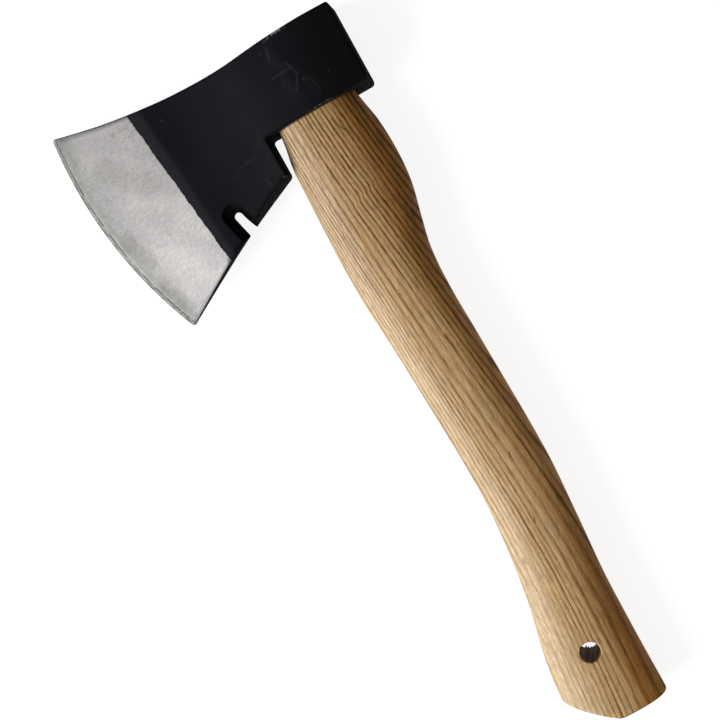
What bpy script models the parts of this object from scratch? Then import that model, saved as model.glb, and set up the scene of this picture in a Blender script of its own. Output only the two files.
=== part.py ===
"""A forestry hatchet: a forged steel head wedged onto a curved ash handle.

The hatchet lies flat on one cheek. The origin is on the lower cheek, under the middle of the eye.
+X runs along the eye towards the top of the head, +Y towards the cutting edge, and +Z is up, so
the handle runs towards -X. Every length is in metres.
"""

import math

import bmesh
import bpy
from mathutils import Matrix, Vector

MM = 0.001

# Head: a wedge-shaped forging. Heights are measured along the eye (X), reaches across it (Y).
CHEEK_THICKNESS = 30.0 * MM
CHEEK_FLAT_REACH = 2.0 * MM
HEAD_RISE = 20.3 * MM
HEAD_DROP = 20.8 * MM
POLL_REACH = 29.0 * MM
POLL_CORNER = 0.8 * MM
EDGE_REACH = 117.2 * MM
EDGE_RADIUS = 206.0 * MM
EDGE_CENTRE_RISE = 5.0 * MM
EDGE_THICKNESS = 0.5 * MM
TOE_RISE = 31.0 * MM
HEEL_DROP = 77.7 * MM
TIP_CORNER = 1.0 * MM

# Ground bevels: two faces that meet at the cutting edge, each ending in a narrow honed strip. The
# line where they start leans outwards by the slope, per length along the eye.
GRIND_WIDTH = 41.8 * MM
GRIND_SLOPE = 0.117
GRIND_THICKNESS = 10.0 * MM
HONED_WIDTH = 1.3 * MM
HONED_THICKNESS = 1.4 * MM

# Beard: the lower part of the blade, which hangs below the eye with a gap to the handle.
BEARD_REACH = 25.7 * MM
BEARD_DROP = 39.4 * MM
BEARD_CORNER = 1.5 * MM

# Nail notch in the beard. Through the blade's thickness it widens by a flare on each side, and its
# inner end leans back, from the lower face up.
NOTCH_WIDTH = 4.0 * MM
NOTCH_DEPTH = 12.0 * MM
NOTCH_FLARE = 3.2 * MM
NOTCH_LEAN = 1.1 * MM
NOTCH_ALONG = 0.384
NOTCH_ANGLE = math.radians(-14.0)

# Eye: an oval hole along X that widens towards the top of the head.
EYE_LENGTH = 41.8 * MM
EYE_WIDTH = 21.6 * MM
EYE_FLARE = 2.0 * MM
EYE_SQUARENESS = 2.5

# Handle: one piece of ash. Its lines are given along the grip, from the head to the butt.
FIT_GAP = 0.3 * MM
TENON_INSET = 1.0 * MM
GRIP_LENGTH = 313.7 * MM
GRIP_SQUARENESS = 2.3
BELLY_PLACE = 0.1
BELLY_THICKNESS = 25.6 * MM
GRIP_THICKNESS = 23.0 * MM
BUTT_THICKNESS = 23.6 * MM
BUTT_ROUNDING = 1.5 * MM
BUTT_FACET = 0.53
LANYARD_HOLE = 9.8 * MM
LANYARD_FROM_BUTT = 35.2 * MM
LANYARD_REACH = 9.8 * MM

# Wedges: a wooden one in a kerf along the eye, and two steel ones driven in across it.
WOOD_WEDGE_DEPTH = 28.0 * MM
WOOD_WEDGE_TOP = 4.6 * MM
WOOD_WEDGE_TIP = 1.2 * MM
STEEL_WEDGE_DEPTH = 16.0 * MM
STEEL_WEDGE_WIDTH = 15.0 * MM
STEEL_WEDGE_TOP = 2.4 * MM
STEEL_WEDGE_TIP = 0.8 * MM
STEEL_WEDGE_REACH = 10.5 * MM

# Derived places.
MIDDLE = CHEEK_THICKNESS / 2
OVERCUT = 4.0 * MM
TENON_TOP = HEAD_RISE - TENON_INSET
GRIND_REACH = EDGE_REACH - GRIND_WIDTH
CORNERS = ((-1, -1), (1, -1), (1, 1), (-1, 1))

# Outlines: (fraction of the way, offset) pairs that a smooth curve passes through. The cheek's taper
# has the share of the way from the grind's thickness to the full one in place of an offset.
TOP_LINE = (
    (0.0, -0.4 * MM),
    (0.11, 0.0),
    (0.26, -0.6 * MM),
    (0.39, -1.5 * MM),
    (0.52, -0.9 * MM),
    (0.66, 0.9 * MM),
    (0.82, 4.5 * MM),
    (1.0, TOE_RISE - HEAD_RISE),
)
BEARD_LINE = (
    (0.0, BEARD_DROP),
    (0.5, (BEARD_DROP + HEEL_DROP) / 2 - 1.5 * MM),
    (1.0, HEEL_DROP),
)
CHEEK_TAPER = (
    (0.0, 1.0),
    (0.23, 0.75),
    (0.46, 0.36),
    (0.72, 0.08),
    (1.0, 0.0),
)
POLL_SIDE_LINE = (
    (0.0, EYE_LENGTH / 2 - FIT_GAP),
    (0.05, 23.0 * MM),
    (0.10, 23.8 * MM),
    (0.15, 22.7 * MM),
    (0.20, 19.1 * MM),
    (0.25, 15.8 * MM),
    (0.31, 14.8 * MM),
    (0.40, 15.5 * MM),
    (0.60, 16.9 * MM),
    (0.70, 15.2 * MM),
    (0.80, 13.1 * MM),
    (0.88, 12.6 * MM),
    (1.0, 12.6 * MM),
)
EDGE_SIDE_LINE = (
    (0.0, EYE_LENGTH / 2 - FIT_GAP),
    (0.05, 22.6 * MM),
    (0.10, 23.4 * MM),
    (0.25, 24.4 * MM),
    (0.40, 21.8 * MM),
    (0.60, 19.6 * MM),
    (0.70, 21.5 * MM),
    (0.80, 26.0 * MM),
    (0.87, 30.9 * MM),
    (0.93, 33.3 * MM),
    (1.0, 33.7 * MM),
)
THICKNESS_LINE = (
    (0.0, EYE_WIDTH - 2 * FIT_GAP),
    (BELLY_PLACE, BELLY_THICKNESS),
    (0.30, GRIP_THICKNESS),
    (0.70, GRIP_THICKNESS),
    (0.90, BUTT_THICKNESS),
    (1.0, BUTT_THICKNESS),
)
BUTT_CURVE_LINE = (
    (BUTT_FACET, 0.0),
    (0.64, 3.2 * MM),
    (0.77, 7.6 * MM),
    (0.88, 11.6 * MM),
    (1.0, 16.6 * MM),
)

# Finishes: colour, roughness and metallic value.
FINISHES = {
    "painted_steel": ((0.02, 0.02, 0.022), 0.45, 0.0),
    "ash_wood": ((0.55, 0.38, 0.2), 0.5, 0.0),
    "wedge_wood": ((0.45, 0.28, 0.13), 0.6, 0.0),
    "bare_steel": ((0.55, 0.55, 0.56), 0.35, 1.0),
}

# Mesh density.
HEAD_COLUMNS = 12
TAPER_STEPS = 8
OUTLINE_STEPS = 20
CORNER_STEPS = 4
OVAL_POINTS = 48
GRIP_RINGS = 44
STRAIGHT_RINGS = 0.72
CAP_RINGS = 3


def smooth(line, at):
    """Offset at a place along a line of (place, offset) points, on a curve through all of them."""
    for left in range(len(line) - 2):
        if at < line[left + 1][0]:
            break
    else:
        left = len(line) - 2
    slopes = []
    for i in (left, left + 1):
        before = line[max(i - 1, 0)]
        after = line[min(i + 1, len(line) - 1)]
        slopes.append((after[1] - before[1]) / (after[0] - before[0]))
    span = line[left + 1][0] - line[left][0]
    t = (at - line[left][0]) / span
    return (
        line[left][1] * (1 + 2 * t) * (1 - t) ** 2
        + slopes[0] * span * t * (1 - t) ** 2
        + line[left + 1][1] * t * t * (3 - 2 * t)
        - slopes[1] * span * t * t * (1 - t)
    )


def blend(start, end, t):
    return start + (end - start) * t


def edge_reach(x):
    """Reach of the cutting edge at a height along it."""
    return EDGE_REACH - EDGE_RADIUS + math.sqrt(EDGE_RADIUS**2 - (x - EDGE_CENTRE_RISE) ** 2)


def oval(half_thickness, squareness):
    """Points round an oval section, each as a fraction across it and a height."""
    points = []
    for i in range(OVAL_POINTS):
        c = math.cos(math.tau * i / OVAL_POINTS)
        s = math.sin(math.tau * i / OVAL_POINTS)
        across = (1 + math.copysign(abs(c) ** (2 / squareness), c)) / 2
        lift = math.copysign(abs(s) ** (2 / squareness), s)
        points.append((across, MIDDLE + half_thickness * lift))
    return points


def finish(name):
    """A Principled material from its entry in the finishes."""
    colour, roughness, metallic = FINISHES[name]
    material = bpy.data.materials.new(name)
    material.use_nodes = True
    shader = material.node_tree.nodes["Principled BSDF"]
    shader.inputs["Base Color"].default_value = (*colour, 1.0)
    shader.inputs["Roughness"].default_value = roughness
    shader.inputs["Metallic"].default_value = metallic
    return material


def make_object(name, bm, finish_name=None):
    """An object from a closed bmesh, with its faces turned outwards. Without a finish it is a guide."""
    bmesh.ops.recalc_face_normals(bm, faces=bm.faces)
    mesh = bpy.data.meshes.new(name)
    bm.to_mesh(mesh)
    bm.free()
    obj = bpy.data.objects.new(name, mesh)
    bpy.context.scene.collection.objects.link(obj)
    if finish_name:
        mesh.materials.append(finish(finish_name))
        mesh.shade_smooth()
        mesh.set_sharp_from_angle(angle=math.radians(35))
    else:
        obj.hide_render = True
        obj.display_type = "WIRE"
    return obj


def boolean(obj, operation, cutter):
    modifier = obj.modifiers.new(f"{operation.lower()} {cutter.name}", "BOOLEAN")
    modifier.operation = operation
    modifier.solver = "EXACT"
    modifier.object = cutter


def loft(rings):
    """A closed bmesh through rings that all have the same number of points."""
    bm = bmesh.new()
    loops = [[bm.verts.new(point) for point in ring] for ring in rings]
    for lower, upper in zip(loops, loops[1:]):
        for i in range(len(lower)):
            j = (i + 1) % len(lower)
            bm.faces.new((lower[i], lower[j], upper[j], upper[i]))
    bm.faces.new(reversed(loops[0]))
    bm.faces.new(loops[-1])
    return bm


def rounded(corners):
    """An outline of (x, y, radius) corners as points, with each corner of some radius as an arc."""
    points = []
    for i, (x, y, radius) in enumerate(corners):
        here = Vector((x, y))
        back = (Vector(corners[i - 1][:2]) - here).normalized()
        ahead = (Vector(corners[(i + 1) % len(corners)][:2]) - here).normalized()
        if radius == 0:
            points.append((x, y))
            continue
        half = back.angle(ahead) / 2
        centre = here + (back + ahead).normalized() * radius / math.sin(half)
        start = here + back * radius / math.tan(half) - centre
        end = here + ahead * radius / math.tan(half) - centre
        sweep = math.atan2(start.x * end.y - start.y * end.x, start.dot(end))
        for k in range(CORNER_STEPS + 1):
            cos = math.cos(sweep * k / CORNER_STEPS)
            sin = math.sin(sweep * k / CORNER_STEPS)
            turned = Vector((cos * start.x - sin * start.y, sin * start.x + cos * start.y))
            points.append(tuple(centre + turned))
    return points


def head_corners():
    """The head's outline seen from above, from the poll round the top to the beard."""
    toe = edge_reach(TOE_RISE)
    heel = edge_reach(-HEEL_DROP)
    corners = [(HEAD_RISE + TOP_LINE[0][1], -POLL_REACH, POLL_CORNER)]
    for k in range(1, OUTLINE_STEPS):
        along = k / OUTLINE_STEPS
        corners.append((HEAD_RISE + smooth(TOP_LINE, along), blend(-POLL_REACH, toe, along), 0))
    corners.append((TOE_RISE, toe, TIP_CORNER))
    for k in range(1, OUTLINE_STEPS):
        x = blend(TOE_RISE, -HEEL_DROP, k / OUTLINE_STEPS)
        corners.append((x, edge_reach(x), 0))
    corners.append((-HEEL_DROP, heel, TIP_CORNER))
    for k in range(OUTLINE_STEPS - 1, 0, -1):
        along = k / OUTLINE_STEPS
        corners.append((-smooth(BEARD_LINE, along), blend(BEARD_REACH, heel, along), 0))
    corners.append((-BEARD_DROP, BEARD_REACH, BEARD_CORNER))
    corners.append((-HEAD_DROP, BEARD_REACH, BEARD_CORNER))
    corners.append((-HEAD_DROP, -POLL_REACH, POLL_CORNER))
    return corners


def head_blank():
    """The outline as a slab, thicker than the head, which the taper then trims."""
    outline = rounded(head_corners())
    return loft([[(x, y, z) for x, y in outline] for z in (-OVERCUT, CHEEK_THICKNESS + OVERCUT)])


def head_taper():
    """The wedge between the cheeks, from behind the poll to the cutting edge."""
    rows = [(lambda x: -POLL_REACH - OVERCUT, CHEEK_THICKNESS)]
    for k in range(TAPER_STEPS + 1):
        along = k / TAPER_STEPS
        slope = GRIND_SLOPE * along
        reach = blend(CHEEK_FLAT_REACH, GRIND_REACH, along)
        thickness = blend(GRIND_THICKNESS, CHEEK_THICKNESS, smooth(CHEEK_TAPER, along))
        rows.append((lambda x, r=reach, s=slope: r + s * x, thickness))
    rows.append((lambda x: edge_reach(x) - HONED_WIDTH, HONED_THICKNESS))
    rows.append((edge_reach, EDGE_THICKNESS))
    rings = []
    for k in range(HEAD_COLUMNS + 1):
        x = blend(-HEEL_DROP - OVERCUT, TOE_RISE + OVERCUT, k / HEAD_COLUMNS)
        upper = [(x, reach(x), MIDDLE + thickness / 2) for reach, thickness in rows]
        lower = [(x, reach(x), MIDDLE - thickness / 2) for reach, thickness in reversed(rows)]
        rings.append(upper + lower)
    bm = loft(rings)
    bmesh.ops.triangulate(bm, faces=bm.faces)
    return bm


def eye_half_length(x):
    """Half of the eye's length at a height, from its lower mouth to its upper one."""
    return (EYE_LENGTH + EYE_FLARE * (x + HEAD_DROP) / (HEAD_RISE + HEAD_DROP)) / 2


def eye_half_width(x):
    return (EYE_WIDTH + EYE_FLARE * (x + HEAD_DROP) / (HEAD_RISE + HEAD_DROP)) / 2


def eye_ring(x, gap=0.0):
    """A section of the eye at a height, or of the tenon in it when there is a gap."""
    half = eye_half_length(x) - gap
    section = oval(eye_half_width(x) - gap, EYE_SQUARENESS)
    return [(x, blend(-half, half, across), z) for across, z in section]


def notch_cutter():
    """A slot with a round inner end, which widens towards the upper cheek."""
    mouth_y = blend(BEARD_REACH, edge_reach(-HEEL_DROP), NOTCH_ALONG)
    mouth = Vector((-smooth(BEARD_LINE, NOTCH_ALONG), mouth_y))
    inward = Vector((math.cos(NOTCH_ANGLE), -math.sin(NOTCH_ANGLE)))
    across = Vector((-inward.y, inward.x))
    lower_face = MIDDLE - GRIND_THICKNESS / 2
    rings = []
    for z, flares in ((-OVERCUT, 0), (lower_face, 0), (lower_face + 2 * GRIND_THICKNESS, 2)):
        radius = NOTCH_WIDTH / 2 + flares * NOTCH_FLARE
        centre = mouth + inward * (NOTCH_DEPTH - NOTCH_WIDTH / 2 + flares * NOTCH_LEAN)
        ring = []
        for k in range(2 * CORNER_STEPS + 1):
            angle = math.pi * k / (2 * CORNER_STEPS) - math.pi / 2
            point = centre + (inward * math.cos(angle) + across * math.sin(angle)) * radius
            ring.append((point.x, point.y, z))
        for side in (1, -1):
            point = centre - inward * 2 * NOTCH_DEPTH + across * radius * side
            ring.append((point.x, point.y, z))
        rings.append(ring)
    return loft(rings)


def make_head():
    head = make_object("head", head_blank(), "painted_steel")
    boolean(head, "INTERSECT", make_object("head_taper_guide", head_taper()))
    eye = loft([eye_ring(x) for x in (-HEAD_DROP - OVERCUT, HEAD_RISE + OVERCUT)])
    boolean(head, "DIFFERENCE", make_object("eye_cutter", eye))
    boolean(head, "DIFFERENCE", make_object("notch_cutter", notch_cutter()))


def butt_setback(across):
    """How far the butt's end lies before the grip's full length, at a fraction across it."""
    return 0.0 if across < BUTT_FACET else smooth(BUTT_CURVE_LINE, across)


def grip_ring(along, shift, inset=0.0):
    """A section of the grip. Shift turns it from square (0) into the shape of the butt's end (1)."""
    half = smooth(THICKNESS_LINE, along) / 2
    squareness = blend(EYE_SQUARENESS, GRIP_SQUARENESS, min(along / BELLY_PLACE, 1))
    ring = []
    for across, z in oval(half, squareness):
        run = along * GRIP_LENGTH - shift * butt_setback(across)
        low = -smooth(POLL_SIDE_LINE, run / GRIP_LENGTH)
        high = smooth(EDGE_SIDE_LINE, run / GRIP_LENGTH)
        centre = (low + high) / 2
        y = blend(low, high, across)
        y = centre + (y - centre) * (1 - 2 * inset / (high - low))
        ring.append((-HEAD_DROP - run, y, MIDDLE + (z - MIDDLE) * (1 - inset / half)))
    return ring


def handle_rings():
    """Rings from the tenon's top down the grip and over the rounded rim of the butt."""
    rings = [eye_ring(x, FIT_GAP) for x in (TENON_TOP, 0.0)]
    for k in range(GRIP_RINGS + 1):
        along = blend(0.0, 1 - BUTT_ROUNDING / GRIP_LENGTH, k / GRIP_RINGS)
        shift = max(0.0, (along - STRAIGHT_RINGS) / (1 - STRAIGHT_RINGS))
        rings.append(grip_ring(along, shift))
    for k in range(1, CAP_RINGS + 1):
        angle = math.pi / 2 * k / CAP_RINGS
        along = 1 - BUTT_ROUNDING * (1 - math.sin(angle)) / GRIP_LENGTH
        rings.append(grip_ring(along, 1.0, BUTT_ROUNDING * (1 - math.cos(angle))))
    return rings


def lanyard_hole():
    centre_x = -HEAD_DROP - GRIP_LENGTH + LANYARD_FROM_BUTT
    ring = []
    for k in range(OVAL_POINTS):
        angle = math.tau * k / OVAL_POINTS
        x = centre_x + LANYARD_HOLE / 2 * math.cos(angle)
        y = LANYARD_REACH + LANYARD_HOLE / 2 * math.sin(angle)
        ring.append((x, y))
    return loft([[(x, y, z) for x, y in ring] for z in (0.0, CHEEK_THICKNESS)])


def wedge_block(depth, top, tip, width, gap=0.0):
    """A wedge, thin across Y, that narrows from the tenon's top, or its slot when there is a gap."""
    rise = OVERCUT if gap else 0.0
    upper = top + rise * (top - tip) / depth
    wide = width / 2 + gap
    rings = []
    for x, thickness in ((TENON_TOP - depth - gap, tip), (TENON_TOP + rise, upper)):
        thin = thickness / 2 + gap
        rings.append([(x, y * thin, MIDDLE + z * wide) for y, z in CORNERS])
    return loft(rings)


def wood_wedge_block(gap=0.0):
    """The wooden wedge, thin across Z, and longer than the eye that it is trimmed to."""
    width = 2 * eye_half_length(TENON_TOP) + OVERCUT
    bm = wedge_block(WOOD_WEDGE_DEPTH, WOOD_WEDGE_TOP, WOOD_WEDGE_TIP, width, gap)
    quarter_turn = Matrix.Rotation(math.pi / 2, 3, "X")
    bmesh.ops.rotate(bm, verts=bm.verts, cent=(0.0, 0.0, MIDDLE), matrix=quarter_turn)
    return bm


def steel_wedge_block(reach, gap=0.0):
    bm = wedge_block(STEEL_WEDGE_DEPTH, STEEL_WEDGE_TOP, STEEL_WEDGE_TIP, STEEL_WEDGE_WIDTH, gap)
    bmesh.ops.translate(bm, verts=bm.verts, vec=(0.0, reach, 0.0))
    return bm


def make_handle():
    handle = make_object("handle", loft(handle_rings()), "ash_wood")
    boolean(handle, "DIFFERENCE", make_object("lanyard_hole_cutter", lanyard_hole()))
    boolean(handle, "DIFFERENCE", make_object("kerf_cutter", wood_wedge_block(FIT_GAP)))
    return handle


def make_wood_wedge():
    wedge = make_object("wood_wedge", wood_wedge_block(), "wedge_wood")
    envelope = loft([eye_ring(x, FIT_GAP) for x in (TENON_TOP + OVERCUT, -HEAD_DROP)])
    boolean(wedge, "INTERSECT", make_object("tenon_guide", envelope))
    return wedge


def make_steel_wedge(name, reach, wood_pieces):
    make_object(name, steel_wedge_block(reach), "bare_steel")
    slot = make_object(f"{name}_slot_cutter", steel_wedge_block(reach, FIT_GAP))
    for piece in wood_pieces:
        boolean(piece, "DIFFERENCE", slot)


def clear_scene():
    for obj in list(bpy.data.objects):
        bpy.data.objects.remove(obj, do_unlink=True)


clear_scene()
make_head()
wood = (make_handle(), make_wood_wedge())
make_steel_wedge("steel_wedge_poll_side", -STEEL_WEDGE_REACH, wood)
make_steel_wedge("steel_wedge_edge_side", STEEL_WEDGE_REACH, wood)
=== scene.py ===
"""The looks of a forestry hatchet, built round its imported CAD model.

The hatchet lies flat on one cheek: +X runs along the eye towards the top of the head, +Y towards
the cutting edge, and +Z is up. Lengths are in metres, and in the shaders in millimetres.
"""

import math
from functools import partialmethod

import bmesh
import bpy
import numpy as np
from mathutils import Matrix, Vector, noise


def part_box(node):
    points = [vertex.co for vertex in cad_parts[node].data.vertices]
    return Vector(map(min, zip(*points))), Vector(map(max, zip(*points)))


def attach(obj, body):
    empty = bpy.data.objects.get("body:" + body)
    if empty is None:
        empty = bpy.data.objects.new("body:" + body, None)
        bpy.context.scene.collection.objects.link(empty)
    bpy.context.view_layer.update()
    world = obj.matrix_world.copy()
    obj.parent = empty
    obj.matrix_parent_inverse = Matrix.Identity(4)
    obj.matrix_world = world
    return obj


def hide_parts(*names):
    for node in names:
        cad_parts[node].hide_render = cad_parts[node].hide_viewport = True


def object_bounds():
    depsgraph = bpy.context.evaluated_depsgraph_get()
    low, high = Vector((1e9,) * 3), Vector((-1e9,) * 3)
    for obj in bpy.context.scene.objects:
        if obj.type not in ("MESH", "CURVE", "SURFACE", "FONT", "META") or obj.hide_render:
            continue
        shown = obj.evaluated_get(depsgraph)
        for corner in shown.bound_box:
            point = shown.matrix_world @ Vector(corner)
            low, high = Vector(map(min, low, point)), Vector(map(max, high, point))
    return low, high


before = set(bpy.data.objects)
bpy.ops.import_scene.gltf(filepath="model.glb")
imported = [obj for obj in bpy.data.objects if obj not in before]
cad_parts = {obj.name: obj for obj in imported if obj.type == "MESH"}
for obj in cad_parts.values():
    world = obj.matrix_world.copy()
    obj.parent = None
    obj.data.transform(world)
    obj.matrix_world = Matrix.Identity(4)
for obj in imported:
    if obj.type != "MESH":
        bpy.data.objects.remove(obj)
cad_low, cad_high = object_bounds()
head_low, head_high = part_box("head")
handle_low, handle_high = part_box("handle")

MM = 0.001

# Head, with the sizes of the CAD part. Heights are measured along X, reaches along Y.
MIDDLE = (head_low.z + head_high.z) / 2
CHEEK_THICKNESS = head_high.z - head_low.z
CHEEK_FLAT_REACH = 2.0 * MM
HEAD_RISE = 20.3 * MM
HEAD_DROP = 20.8 * MM
POLL_REACH = -head_low.y
EDGE_REACH = head_high.y
EDGE_RADIUS = 206.0 * MM
EDGE_CENTRE_RISE = 5.0 * MM
EDGE_THICKNESS = 0.3 * MM
TOE_RISE = 31.0 * MM
HEEL_DROP = 77.7 * MM
GRIND_REACH = 75.4 * MM
GRIND_SLOPE = 0.117
GRIND_THICKNESS = 10.0 * MM
FACET_REACH = 70.2 * MM
FACET_SLOPE = 0.088
HONED_WIDTH = 1.3 * MM
HONED_THICKNESS = 1.4 * MM
BEARD_REACH = 25.7 * MM
BEARD_DROP = 39.4 * MM
NOTCH_WIDTH = 4.0 * MM
NOTCH_DEPTH = 12.0 * MM
NOTCH_FLARE = 3.2 * MM
NOTCH_LEAN = 1.1 * MM
NOTCH_LIP = (1.2 * MM, 2.0 * MM)
NOTCH_ARC = 24
NOTCH_ALONG = 0.384
NOTCH_ANGLE = math.radians(-14.0)
EYE_LENGTH = 41.8 * MM
EYE_WIDTH = 21.6 * MM
EYE_FLARE = 2.0 * MM
EYE_SQUARENESS = 2.5
EYE_MOUTH_ROUNDING = 0.8 * MM

# How far cutters reach past what they cut, steps in a rounded rim, and degrees that shade as a crease.
OVERCUT = 3.0 * MM
ROUNDING_STEPS = 5
SHARP_ANGLE = 40
WOOD_WEDGE_SHARP_ANGLE = 30
STEEL_WEDGE_SHARP_ANGLE = 60

# Softened edges of the head.
RIM_RADIUS = 0.9 * MM
RIM_SHARE = 0.13
POLL_TOP_CORNER = 1.2 * MM
POLL_LOW_CORNER = 2.2 * MM
BEARD_CORNER = 1.5 * MM
TIP_CORNER = 1.4 * MM
BEARD_SLOPE_WIDTH = 2.8 * MM
BEARD_SLOPE_END = 1.2 * MM
BEARD_SLOPE_DROP = 0.5 * MM
FORGING_WAVES = 0.06 * MM
FORGING_WAVE_PITCH = 60
FORGING_WAVE_SHIFT = 0.05
UNDERSIDE_SLOPE = 2.2 * MM
BEARD_RECESS = 1.4 * MM
BEARD_RECESS_DEPTH = 8.0 * MM
BEARD_RECESS_START = 42.0 * MM
BEARD_RECESS_END = 54.0 * MM

# Handle.
TENON_TOP = handle_high.x
WOOD_GAP = 0.12 * MM
END_GAP = 0.75 * MM
GRIP_LENGTH = 313.7 * MM
GRIP_SQUARENESS = 2.3
BELLY_PLACE = 0.1
BELLY_THICKNESS = 25.6 * MM
GRIP_THICKNESS = 23.0 * MM
BUTT_THICKNESS = 23.6 * MM
BUTT_ROUNDING = 1.5 * MM
BUTT_FACET = 0.53
LANYARD_HOLE = 9.8 * MM
LANYARD_PLACE = (-299.3 * MM, 9.8 * MM)
LANYARD_ROUNDING = 0.5 * MM
LANYARD_SPLINTERS = 3.6 * MM
LANYARD_SPLINTER_DEPTH = 2.2 * MM
SPLINTER_PITCH = 0.33
SPLINTER_SHIFT = 3.1

# Outlines of the CAD part: (fraction of the way, offset) pairs that a smooth curve passes through.
TOP_LINE = (
    (0.0, -0.4 * MM), (0.11, 0.0), (0.26, -0.6 * MM), (0.39, -1.5 * MM), (0.52, -0.9 * MM),
    (0.66, 0.9 * MM), (0.82, 4.5 * MM), (1.0, TOE_RISE - HEAD_RISE),
)
BEARD_LINE = (
    (0.0, BEARD_DROP),
    (0.5, (BEARD_DROP + HEEL_DROP) / 2 - 1.5 * MM),
    (1.0, HEEL_DROP),
)
CHEEK_TAPER = (
    (0.0, 1.0), (0.23, 0.75), (0.46, 0.36), (0.72, 0.085), (0.93, 0.035), (1.0, 0.0),
)
POLL_SIDE_LINE = (
    (0.0, EYE_LENGTH / 2 - END_GAP), (0.02, 21.3 * MM), (0.05, 23.0 * MM), (0.10, 23.8 * MM),
    (0.15, 22.7 * MM), (0.20, 19.1 * MM), (0.25, 15.8 * MM), (0.31, 14.8 * MM),
    (0.40, 15.5 * MM), (0.60, 16.9 * MM), (0.70, 15.2 * MM), (0.80, 13.1 * MM),
    (0.88, 12.6 * MM), (1.0, 12.6 * MM),
)
EDGE_SIDE_LINE = (
    (0.0, EYE_LENGTH / 2 - END_GAP), (0.02, 20.9 * MM), (0.05, 22.6 * MM), (0.10, 23.4 * MM),
    (0.25, 24.4 * MM), (0.40, 21.8 * MM), (0.60, 19.6 * MM), (0.70, 21.5 * MM),
    (0.80, 26.0 * MM), (0.87, 30.9 * MM), (0.93, 33.3 * MM), (1.0, 33.7 * MM),
)
THICKNESS_LINE = (
    (0.0, EYE_WIDTH - 2 * WOOD_GAP), (BELLY_PLACE, BELLY_THICKNESS), (0.30, GRIP_THICKNESS),
    (0.70, GRIP_THICKNESS), (0.90, BUTT_THICKNESS), (1.0, BUTT_THICKNESS),
)
BUTT_CURVE_LINE = (
    (BUTT_FACET, 0.0), (0.64, 3.2 * MM), (0.77, 7.6 * MM), (0.88, 11.6 * MM), (1.0, 16.6 * MM),
)


# ------------------------ shared geometry


def smooth(line, at):
    """Offset at a place along a line of (place, offset) points, on a curve through all of them."""
    for left in range(len(line) - 2):
        if at < line[left + 1][0]:
            break
    else:
        left = len(line) - 2
    slopes = []
    for i in (left, left + 1):
        before = line[max(i - 1, 0)]
        after = line[min(i + 1, len(line) - 1)]
        slopes.append((after[1] - before[1]) / (after[0] - before[0]))
    span = line[left + 1][0] - line[left][0]
    t = (at - line[left][0]) / span
    return (
        line[left][1] * (1 + 2 * t) * (1 - t) ** 2
        + slopes[0] * span * t * (1 - t) ** 2
        + line[left + 1][1] * t * t * (3 - 2 * t)
        - slopes[1] * span * t * t * (1 - t)
    )


def blend(start, end, t):
    return start + (end - start) * t


def oval(half_thickness, squareness, count):
    """Points round an oval section, each as a fraction across it and a height."""
    points = []
    for i in range(count):
        c = math.cos(math.tau * i / count)
        s = math.sin(math.tau * i / count)
        across = (1 + math.copysign(abs(c) ** (2 / squareness), c)) / 2
        lift = math.copysign(abs(s) ** (2 / squareness), s)
        points.append((across, MIDDLE + half_thickness * lift))
    return points


def loft(rings, caps=True):
    """A bmesh through rings that all have the same number of points."""
    bm = bmesh.new()
    loops = [[bm.verts.new(point) for point in ring] for ring in rings]
    for lower, upper in zip(loops, loops[1:]):
        for i in range(len(lower)):
            j = (i + 1) % len(lower)
            bm.faces.new((lower[i], lower[j], upper[j], upper[i]))
    if caps:
        bm.faces.new(reversed(loops[0]))
        bm.faces.new(loops[-1])
    return bm


def add_object(name, data):
    obj = bpy.data.objects.new(name, data)
    bpy.context.scene.collection.objects.link(obj)
    return obj


def make_object(name, bm):
    bmesh.ops.recalc_face_normals(bm, faces=bm.faces)
    mesh = bpy.data.meshes.new(name)
    bm.to_mesh(mesh)
    bm.free()
    return add_object(name, mesh)


def apply_modifiers(obj):
    """Puts the evaluated mesh in place of the object's own."""
    graph = bpy.context.evaluated_depsgraph_get()
    mesh = bpy.data.meshes.new_from_object(obj.evaluated_get(graph))
    obj.modifiers.clear()
    obj.data = mesh


def bevel(obj, width, segments, **settings):
    modifier = obj.modifiers.new("bevel", "BEVEL")
    modifier.width = width
    modifier.segments = segments
    for key, value in settings.items():
        setattr(modifier, key, value)
    apply_modifiers(obj)


def cut(obj, operation, *cutters):
    """Cuts with closed bmeshes, one after another."""
    for bm in cutters:
        cutter = make_object("cutter", bm)
        modifier = obj.modifiers.new("cut", "BOOLEAN")
        modifier.operation = operation
        modifier.solver = "EXACT"
        modifier.object = cutter
        apply_modifiers(obj)
        bpy.data.objects.remove(cutter)


def shade(obj, angle):
    """Smooth shading with creases from an angle, and normals that follow the large faces."""
    obj.data.shade_smooth()
    obj.data.set_sharp_from_angle(angle=math.radians(angle))


def place(obj, material, slot, *nodes):
    """Hangs a finished piece in the frame, in place of the CAD nodes."""
    obj.data.materials.clear()
    obj.data.materials.append(material)
    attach(obj, "root")
    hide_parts(*nodes)


# ------------------------ head


def edge_reach(x):
    return EDGE_REACH - EDGE_RADIUS + math.sqrt(EDGE_RADIUS**2 - (x - EDGE_CENTRE_RISE) ** 2)


def grind_reach(x):
    return GRIND_REACH + GRIND_SLOPE * x


def facet_reach(x):
    return FACET_REACH + FACET_SLOPE * x


def honed_reach(x):
    return edge_reach(x) - HONED_WIDTH


TOE_REACH = edge_reach(TOE_RISE)
HEEL_REACH = edge_reach(-HEEL_DROP)


def top_height(y):
    return HEAD_RISE + smooth(TOP_LINE, (y + POLL_REACH) / (TOE_REACH + POLL_REACH))


def beard_height(y):
    return -smooth(BEARD_LINE, (y - BEARD_REACH) / (HEEL_REACH - BEARD_REACH))


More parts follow.
